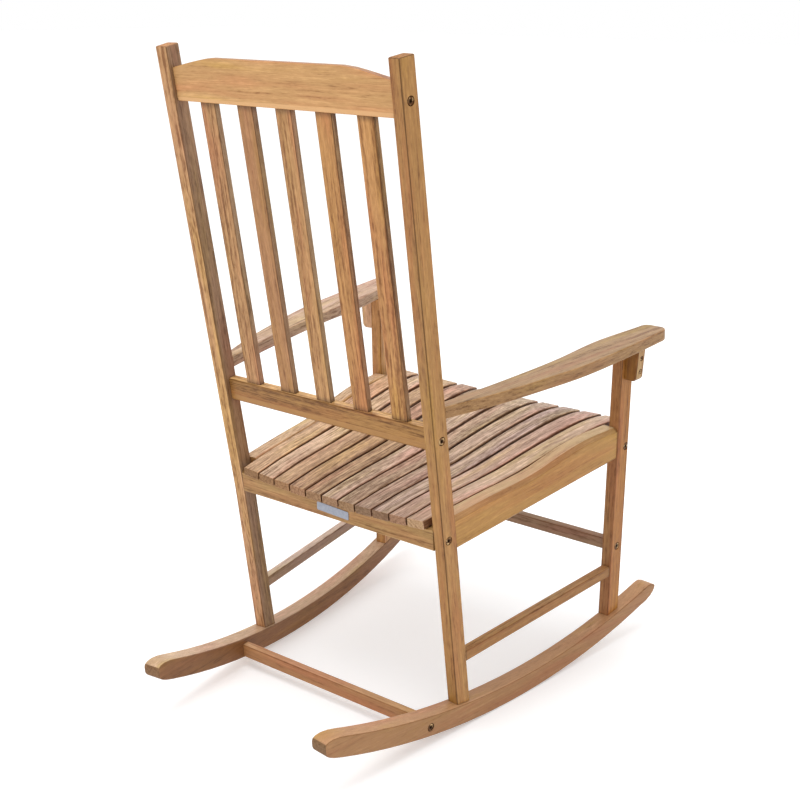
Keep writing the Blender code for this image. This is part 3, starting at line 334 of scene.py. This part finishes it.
def board_axes(mesh):
    """Centre and length, width and thickness directions of a board, from its surface.

    The two longest directions are the main directions of the faces' spread, found by repeated
    multiplication from a start that is not square to them.
    """
    points = [v.co for v in mesh.vertices]
    low = Vector([min(p[i] for p in points) for i in range(3)])
    high = Vector([max(p[i] for p in points) for i in range(3)])
    centre = (low + high) / 2
    spread = Matrix(((0, 0, 0), (0, 0, 0), (0, 0, 0)))
    for face in mesh.polygons:
        c = face.center - centre
        for i in range(3):
            for j in range(3):
                spread[i][j] += c[i] * c[j] * face.area
    long_axis = Vector((0.3, 0.5, 0.8))
    for _ in range(POWER_STEPS):
        long_axis = (spread @ long_axis).normalized()
    along = spread @ long_axis
    rest = spread.copy()
    for i in range(3):
        for j in range(3):
            rest[i][j] -= along.dot(long_axis) * long_axis[i] * long_axis[j]
    wide = Vector((0.9, -0.4, 0.31))
    wide -= long_axis * wide.dot(long_axis)
    for _ in range(POWER_STEPS):
        wide = rest @ wide
        wide -= long_axis * wide.dot(long_axis)
        wide.normalize()
    if max(long_axis, key=abs) < 0:
        long_axis = -long_axis
    if max(wide, key=abs) < 0:
        wide = -wide
    return centre, (long_axis, wide, long_axis.cross(wide))


BOARD_BEVEL, FASTENER_BEVEL, TAG_BEVEL = 0.0006, 0.00025, 0.0002
WELD = 0.00002                      # vertices closer than this are one
FLAT_ANGLE = math.radians(0.25)     # faces meeting flatter than this are one
BEVEL_ANGLE = math.radians(28)      # edges sharper than this are rounded
SHARP_ANGLE = math.radians(62)      # edges sharper than this are not shaded smooth


def refined(name, source, bevel):
    """Clean copy of a node's surface with rounded arrises, bevel wide, and smooth shading."""
    mesh = bpy.data.meshes.new(name)
    bm = bmesh.new()
    bm.from_mesh(source)
    bmesh.ops.remove_doubles(bm, verts=bm.verts, dist=WELD)
    bmesh.ops.dissolve_limit(bm, angle_limit=FLAT_ANGLE, verts=bm.verts, edges=bm.edges,
                             delimit={"NORMAL"})
    for face in bm.faces:
        face.smooth = True
    for edge in bm.edges:
        edge.smooth = not (edge.is_manifold and edge.calc_face_angle(0.0) > SHARP_ANGLE)
    bm.to_mesh(mesh)
    bm.free()
    piece = bpy.data.objects.new(name, mesh)
    scene.collection.objects.link(piece)
    ease = piece.modifiers.new("ease", "BEVEL")
    ease.limit_method = "ANGLE"
    ease.angle_limit = BEVEL_ANGLE
    ease.width = bevel
    ease.segments = 2
    ease.use_clamp_overlap = True
    ease.miter_outer = "MITER_ARC"
    shade = piece.modifiers.new("shade", "WEIGHTED_NORMAL")
    shade.keep_sharp = True
    shade.weight = 80
    return piece


def place(piece, node):
    """Let a piece ride on the chair's one body in place of its CAD node."""
    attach(piece, "root")
    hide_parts(node)


# Each base colour was matched to the board as it is lit, so besides the wood's own colour it
# holds painted light and shade; arm_bracket_right, whose main face lies in shade, is a
# painted-shade copy of arm_bracket_left.
BOARDS = {
    # name: (base colour, streak contrast, ring spacing)
    "crest_rail": ((0.501, 0.276, 0.109), 0.65, 0.0065),
    "lower_back_rail": ((0.283, 0.136, 0.037), 1.45, 0.0080),
    "rear_apron": ((0.333, 0.189, 0.066), 0.95, 0.0070),
    "front_apron": ((0.440, 0.240, 0.100), 0.90, 0.0070),
    "side_rail_right": ((0.367, 0.185, 0.046), 0.62, 0.0095),
    "side_rail_left": ((0.496, 0.278, 0.113), 1.24, 0.0085),
    "rear_post_right": ((0.341, 0.169, 0.051), 0.89, 0.0085),
    "rear_post_left": ((0.463, 0.248, 0.115), 1.11, 0.0070),
    "front_leg_right": ((0.303, 0.122, 0.028), 0.96, 0.0080),
    "front_leg_left": ((0.415, 0.203, 0.069), 1.10, 0.0080),
    "rocker_right": ((0.339, 0.172, 0.070), 0.54, 0.0100),
    "rocker_left": ((0.422, 0.240, 0.128), 0.67, 0.0100),
    "rocker_stretcher": ((0.350, 0.159, 0.059), 0.69, 0.0080),
    "front_stretcher": ((0.261, 0.155, 0.090), 0.83, 0.0080),
    "side_stretcher_right": ((0.263, 0.119, 0.032), 0.83, 0.0080),
    "side_stretcher_left": ((0.475, 0.318, 0.227), 0.83, 0.0080),
    "arm_right": ((0.292, 0.174, 0.083), 0.92, 0.0090),
    "arm_left": ((0.412, 0.260, 0.171), 1.10, 0.0090),
    "arm_bracket_right": ((0.220, 0.091, 0.022), 0.96, 0.0080),
    "arm_bracket_left": ((0.625, 0.380, 0.220), 0.96, 0.0080),
    "seat_batten": ((0.420, 0.230, 0.100), 0.80, 0.0080),
    "back_slat_1": ((0.436, 0.212, 0.073), 1.08, 0.0070),
    "back_slat_2": ((0.399, 0.191, 0.063), 1.18, 0.0075),
    "back_slat_3": ((0.414, 0.217, 0.084), 1.03, 0.0080),
    "back_slat_4": ((0.349, 0.168, 0.070), 0.96, 0.0080),
    "back_slat_5": ((0.395, 0.207, 0.085), 1.31, 0.0070),
    "seat_slat_01": ((0.423, 0.283, 0.191), 0.84, 0.0070),
    "seat_slat_02": ((0.359, 0.225, 0.160), 1.09, 0.0080),
    "seat_slat_03": ((0.312, 0.205, 0.166), 1.50, 0.0080),
    "seat_slat_04": ((0.327, 0.216, 0.147), 1.43, 0.0070),
    "seat_slat_05": ((0.343, 0.231, 0.146), 1.50, 0.0075),
    "seat_slat_06": ((0.365, 0.244, 0.167), 1.45, 0.0085),
    "seat_slat_07": ((0.313, 0.192, 0.104), 1.39, 0.0070),
    "seat_slat_08": ((0.336, 0.194, 0.119), 1.34, 0.0075),
    "seat_slat_09": ((0.364, 0.220, 0.123), 1.19, 0.0080),
    "seat_slat_10": ((0.428, 0.280, 0.179), 1.28, 0.0070),
    "seat_slat_11": ((0.462, 0.287, 0.166), 1.15, 0.0080),
}

# Small sound knots: board and place from its middle, along, across and through it
KNOTS = {
    "crest_rail": (0.010, -0.030, 0.009),
    "rear_apron": (-0.120, 0.012, 0.010),
    "arm_left": (0.150, 0.020, 0.010),
}

# Boards with a painted reflection of the bright floor on their lower edge: the wood is painted
# pale below this height from the board's middle
LIT_EDGE_HEIGHT = {"crest_rail": -0.0255, "lower_back_rail": -0.0055, "rear_apron": -0.0185}

RIGHT, LEFT = Vector((-1, 0, 0)), Vector((1, 0, 0))
REAR, TOP = Vector((0, 1, 0)), Vector((0, 0, 1))

# The keys of TONES, ARRIS, PALE and JOINTS are node names or their beginnings, and the first that
# fits is used. TONES are painted shade and painted highlights: factors for faces darker or paler
# than the board's main face because of how the light falls on them, such as shaded slat sides and
# inner faces, and pale tops that stand in for a reflection of the bright surroundings.
TONES = {
    "seat_slat": ((RIGHT, (0.34, 0.24, 0.17)), (LEFT, (0.34, 0.24, 0.17))),
    "back_slat": ((RIGHT, (0.66, 0.75, 0.96)), (LEFT, (0.66, 0.75, 0.96))),
    "rear_post_left": ((RIGHT, (0.52, 0.53, 0.58)),),
    "rocker_left": ((RIGHT, (0.50, 0.38, 0.26)), (TOP, (1.20, 1.37, 1.56)),
                    (REAR, (0.58, 0.62, 0.66))),
    "rocker_right": ((LEFT, (0.55, 0.43, 0.30)), (RIGHT, (0.91, 0.90, 0.87)),
                     (TOP, (1.34, 1.43, 1.70)), (REAR, (0.67, 0.82, 1.08))),
    "rocker_stretcher": ((TOP, (1.40, 1.75, 2.35)),),
    "front_stretcher": ((TOP, (1.35, 1.42, 1.36)),),
    "side_stretcher_left": ((RIGHT, (0.55, 0.48, 0.44)), (TOP, (1.36, 1.53, 1.72))),
    "side_stretcher_right": ((LEFT, (0.70, 0.66, 0.60)), (TOP, (1.60, 2.02, 2.80))),
    "side_rail_right": ((TOP, (1.26, 1.66, 3.40)),),
    "side_rail_left": ((TOP, (1.08, 1.25, 1.75)),),
    "arm_bracket_right": ((RIGHT, (1.70, 2.5, 4.1)), (LEFT, (1.70, 2.5, 4.1))),
    "arm_right": ((RIGHT, (0.97, 0.87, 0.72)),),
    "arm_left": ((RIGHT, (0.89, 0.90, 0.87)),),
    "front_leg_right": ((REAR, (0.98, 1.19, 1.84)),),
    "crest_rail": ((TOP, (0.62, 0.58, 0.62)),),
    "lower_back_rail": ((TOP, (1.95, 2.30, 3.40)),),
}

# Factors for the rear ends of the seat slats, which differ from slat to slat: the ends' own
# colour together with painted light and shade on these faces
ENDS = {
    "seat_slat_01": (1.20, 1.30, 1.30), "seat_slat_03": (0.84, 0.84, 0.72),
    "seat_slat_04": (0.84, 0.88, 0.92), "seat_slat_07": (1.14, 1.22, 1.42),
    "seat_slat_08": (1.18, 1.26, 1.32), "seat_slat_10": (0.78, 0.73, 0.63),
    "seat_slat_11": (0.63, 0.62, 0.58),
}

# Long edges between the faces: darker than the faces beside them where the factor is below one,
# and a painted highlight where it is above one
ARRIS = {"crest_rail": 0.92, "arm_right": 1.28, "arm_left": 1.12, "seat_slat": 1.12,
         "rear_post_right": 0.42, "back_slat": 0.55, "side_rail": 0.84}

# How much paler than the base colour the palest fibres are
PALE = {"seat_slat": 1.62}

# Painted shade beside the joints at both ends: depth of the hidden tenon, width and factor
JOINTS = {
    "back_slat": (0.0140, 0.0110, 0.55),
    "side_stretcher": (0.0145, 0.0060, 0.60),
    "side_rail": (0.0145, 0.0050, 0.70),
    "crest_rail": (0.0, 0.0050, 0.62),
    "lower_back_rail": (0.0, 0.0050, 0.62),
    "rear_apron": (0.0, 0.0060, 0.62),
    "front_stretcher": (0.0, 0.0050, 0.62),
    "rocker_stretcher": (0.0, 0.0050, 0.62),
}


def for_board(table, node, usual):
    """Value of the first key that the node's name starts with, or the usual one."""
    return next((value for start, value in table.items() if node.startswith(start)), usual)


for order, (node, (base, streaks, ring)) in enumerate(BOARDS.items()):
    source = nodes[node].data
    centre, axes = board_axes(source)
    half = max(abs((v.co - centre).dot(axes[0])) for v in source.vertices)
    tenon, width, factor = for_board(JOINTS, node, (0.0, 0.0, 0.0))
    tones = for_board(TONES, node, ())
    if node in ENDS:
        tones += ((REAR, ENDS[node]),)
    piece = refined(node + "_piece", source, BOARD_BEVEL)
    joint = (half - tenon, width, factor) if width else None
    piece.data.materials.append(
        wood_material(node, axes, centre, base, order + 1.0, streaks, ring,
                      KNOTS.get(node, NO_KNOT), LIT_EDGE_HEIGHT.get(node, NO_LIT_EDGE), tones,
                      for_board(ARRIS, node, USUAL_ARRIS), joint,
                      for_board(PALE, node, USUAL_PALE)))
    place(piece, node)


# ---- Bolts and screws ----------------------------------------------------------------

def metal_material(name, colour, roughness, wear_and_highlight):
    """Bronzed steel of one colour, with patches of a second colour where it is rubbed; on the
    brass heads these bright patches also serve as painted highlights.
    """
    material, g = empty_material(name)
    where = g.node("TexCoord").outputs["Object"]
    cloud = g.noise(where, (170.0, 170.0, 170.0), 2.0, 0.5)
    grit = g.noise(where, (1800.0, 1800.0, 1800.0), 2.0, 0.6)
    shade = g.mix(g.step(cloud, 0.47, 0.63), (*colour, 1.0), (*wear_and_highlight, 1.0))
    shade = g.mix(g.step(grit, 0.55, 0.8, 0.0, 0.35), shade,
                  g.times(shade, (0.45, 0.40, 0.36)))
    bump = g.node("Bump")
    bump.inputs["Strength"].default_value = 0.2
    bump.inputs["Distance"].default_value = 0.0001
    g.put(bump.inputs["Height"], grit)
    shader = g.node("BsdfPrincipled")
    g.put(shader.inputs["Base Color"], shade)
    shader.inputs["Metallic"].default_value = 1.0
    g.put(shader.inputs["Roughness"], g.step(cloud, 0.3, 0.7, roughness - 0.06, roughness + 0.10))
    g.put(shader.inputs["Normal"], bump.outputs[0])
    to_surface(g, shader)
    return material


BRONZE = metal_material("bronzed_steel", (0.070, 0.036, 0.016), 0.32, (0.15, 0.080, 0.035))
# Dark heads whose bright rubbed patches also stand in for painted highlights
BRASS = metal_material("worn_highlit_brass", (0.11, 0.045, 0.018), 0.24, (0.60, 0.41, 0.20))


FACE_SLOPE = 0.40       # a face of the head points this much along the shank or more
SOCKET_SHARE = 0.42     # of the head's radius; faces nearer the middle are in the socket
# The dark border is painted shade and painted reflection of the dark wood at the head's rim
BORDER_SHARE = 0.17     # of the head's radius; the dark border of the bright ring


def fastener(node):
    """Bolt or screw: brassy on the face of the head, with a dark border painted at its rim for
    shade and the reflected dark wood, and dark bronze in its socket.
    """
    piece = refined(node + "_piece", nodes[node].data, FASTENER_BEVEL)
    for material in (BRONZE, BRASS):
        piece.data.materials.append(material)
    corners = [Vector(corner) for corner in piece.bound_box]
    centre = sum(corners, Vector()) / 8
    spans = [max(c[i] for c in corners) - min(c[i] for c in corners) for i in range(3)]
    shank = max(range(3), key=lambda i: spans[i])
    rim = max(spans[i] for i in range(3) if i != shank) / 2
    across = [i for i in range(3) if i != shank]
    bm = bmesh.new()
    bm.from_mesh(piece.data)
    ring = []
    for face in bm.faces:
        reach = [math.hypot(*((v.co - centre)[i] for i in across)) for v in face.verts]
        outside_socket = sum(reach) / len(reach) > SOCKET_SHARE * rim
        if abs(face.normal[shank]) > FACE_SLOPE and outside_socket:
            face.material_index = 1
            ring.append(face)
    # Painted shade and reflection at the rim: a dark border inset round the bright ring
    painted_rim = bmesh.ops.inset_region(bm, faces=ring, thickness=rim * BORDER_SHARE,
                                    use_even_offset=True)
    for face in painted_rim["faces"]:
        face.material_index = 0
    bm.to_mesh(piece.data)
    bm.free()
    place(piece, node)


for node in sorted(nodes):
    if node.startswith(("bolt_", "bracket_screw")):
        fastener(node)


# ---- Tag -----------------------------------------------------------------------------

def tag_material():
    """Blank printed plastic tag: pale blue grey with faint mottling and soft scuffs."""
    material, g = empty_material("blank_tag")
    where = g.node("TexCoord").outputs["Object"]
    mottle = g.noise(where, (320.0, 320.0, 320.0), 3.0, 0.6)
    scuff = g.noise(where, (60.0, 900.0, 900.0), 2.0, 0.6)
    shade = g.mix(g.step(mottle, 0.3, 0.7), (0.25, 0.27, 0.33, 1.0), (0.32, 0.335, 0.39, 1.0))
    shade = g.mix(g.step(scuff, 0.58, 0.8, 0.0, 0.4), shade, (0.42, 0.43, 0.46, 1.0))
    shader = g.node("BsdfPrincipled")
    g.put(shader.inputs["Base Color"], shade)
    g.put(shader.inputs["Roughness"], g.step(scuff, 0.3, 0.7, 0.38, 0.55))
    to_surface(g, shader)
    return material


tag = refined("label_tag_piece", nodes["label_tag"].data, TAG_BEVEL)
tag.data.materials.append(tag_material())
place(tag, "label_tag")


# ---- Studio --------------------------------------------------------------------------

FLOOR_REACH = 30.0
FLOOR_DROP = 0.0004     # below the rockers, so that the two surfaces never share a plane


def floor_material():
    """White floor that gives off a little light, so that the shadows stay faint."""
    material, g = empty_material("studio_floor")
    where = g.node("TexCoord").outputs["Object"]
    cloud = g.noise(where, (0.8, 0.8, 0.8), 2.0, 0.5)
    away = g.vector("LENGTH", where, out=1)
    shader = g.node("BsdfPrincipled")
    near = g.mix(cloud, (0.86, 0.86, 0.86, 1.0), (0.88, 0.88, 0.88, 1.0))
    far = g.step(away, 0.9, 3.2)
    g.put(shader.inputs["Base Color"], g.mix(far, near, (0.90, 0.90, 0.90, 1.0)))
    shader.inputs["Roughness"].default_value = 0.9
    shader.inputs["Specular IOR Level"].default_value = 0.1
    g.put(shader.inputs["Emission Color"],
          g.mix(far, (0.25, 0.26, 0.27, 1.0), (0.25, 0.25, 0.25, 1.0)))
    shader.inputs["Emission Strength"].default_value = 1.0
    to_surface(g, shader)
    return material


floor_mesh = bpy.data.meshes.new("studio_floor")
floor_mesh.from_pydata([(x * FLOOR_REACH, y * FLOOR_REACH, 0.0)
                        for x, y in ((-1, -1), (1, -1), (1, 1), (-1, 1))], [], [(0, 1, 2, 3)])
floor = bpy.data.objects.new("studio_floor", floor_mesh)
scene.collection.objects.link(floor)
floor.location.z = -FLOOR_DROP
floor_mesh.materials.append(floor_material())

world = bpy.data.worlds.new("studio")
scene.world = world
world.use_nodes = True
world.node_tree.nodes.clear()
g = Graph(world.node_tree)
sky = g.node("Background")
sky.inputs["Color"].default_value = WHITE
sky.inputs["Strength"].default_value = 1.0
g.put(g.node("OutputWorld").inputs["Surface"], sky.outputs[0])


# One large softbox above the chair
SOFTBOX_PLACE, SOFTBOX_TARGET = Vector((0.2, 0.3, 3.4)), Vector((0.0, 0.0, 0.4))
lamp = bpy.data.lights.new("overhead", "AREA")
lamp.shape = "RECTANGLE"
lamp.size, lamp.size_y = 2.4, 2.4
lamp.energy = 56.0
softbox = bpy.data.objects.new("overhead", lamp)
scene.collection.objects.link(softbox)
softbox.location = SOFTBOX_PLACE
softbox.rotation_euler = (SOFTBOX_TARGET - SOFTBOX_PLACE).to_track_quat("-Z", "Y").to_euler()


# ---- Camera --------------------------------------------------------------------------

CAMERA_PLACE = (-1.34383, 1.74305, 1.18755)
CAMERA_RIGHT = Vector((-0.79046, -0.61242, 0.01064)).normalized()
CAMERA_FORWARD = Vector((0.58235, -0.75679, -0.29688))

lens = bpy.data.cameras.new("camera")
lens.sensor_width = 36.0
lens.lens = 59.25
camera = bpy.data.objects.new("camera", lens)
scene.collection.objects.link(camera)
forward = (CAMERA_FORWARD - CAMERA_RIGHT * CAMERA_FORWARD.dot(CAMERA_RIGHT)).normalized()
turn = Matrix((CAMERA_RIGHT, CAMERA_RIGHT.cross(forward), -forward)).transposed().to_4x4()
camera.matrix_world = Matrix.Translation(CAMERA_PLACE) @ turn
scene.camera = camera
scene.view_settings.view_transform = "Standard"
